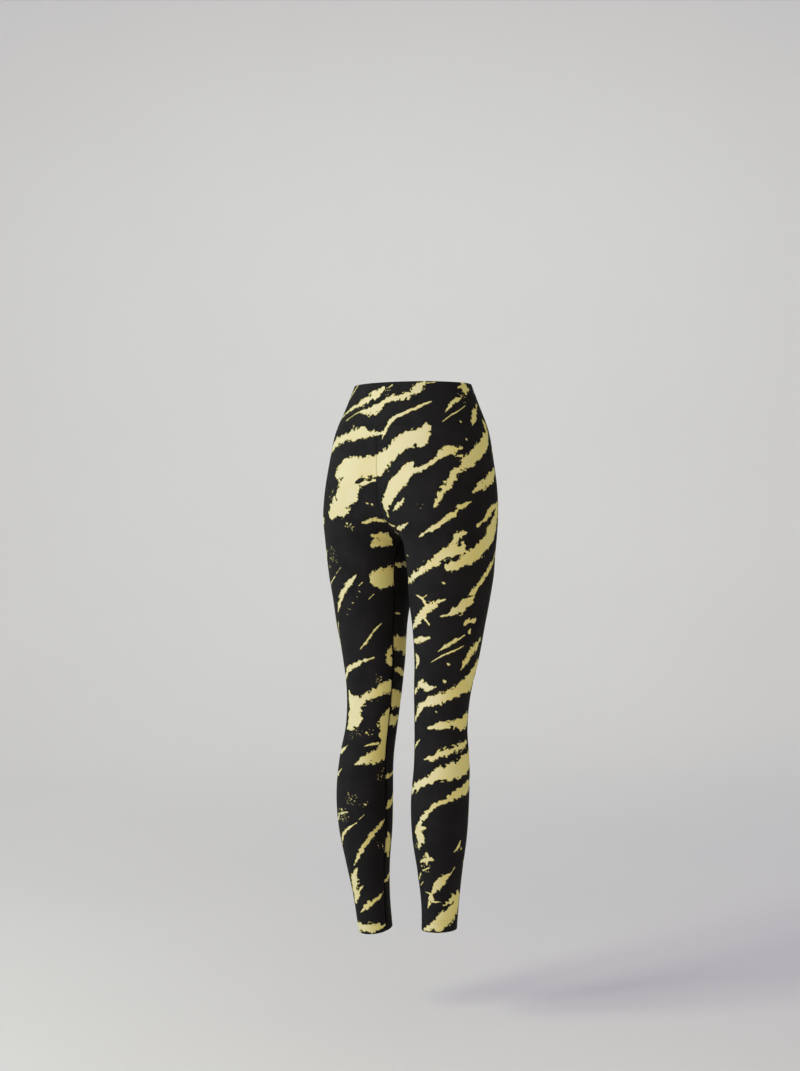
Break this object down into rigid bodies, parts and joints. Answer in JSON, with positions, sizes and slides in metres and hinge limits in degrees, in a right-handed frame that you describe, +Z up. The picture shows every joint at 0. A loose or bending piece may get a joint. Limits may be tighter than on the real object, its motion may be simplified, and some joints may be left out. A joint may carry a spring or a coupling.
{
  "type": "leggings",
  "caption": "High-waisted ankle-length leggings in thin stretch knit with an all-over torn tiger-stripe print, standing open and empty in worn form.",
  "frame": {"origin": "centre of the waist opening, level with the waistband's top edge", "axes": "+Z up along the body, +X to the wearer's left, -Y to the front"},
  "size_m": [0.3396, 0.2141, 0.987],
  "materials": {
    "printed_knit": "matte charcoal stretch jersey with pale butter-yellow torn tiger strokes over about a quarter of it"
  },
  "bodies": {
    "root": {"waistband": "printed_knit", "leg_left": "printed_knit", "leg_right": "printed_knit"}
  },
  "joints": []
}
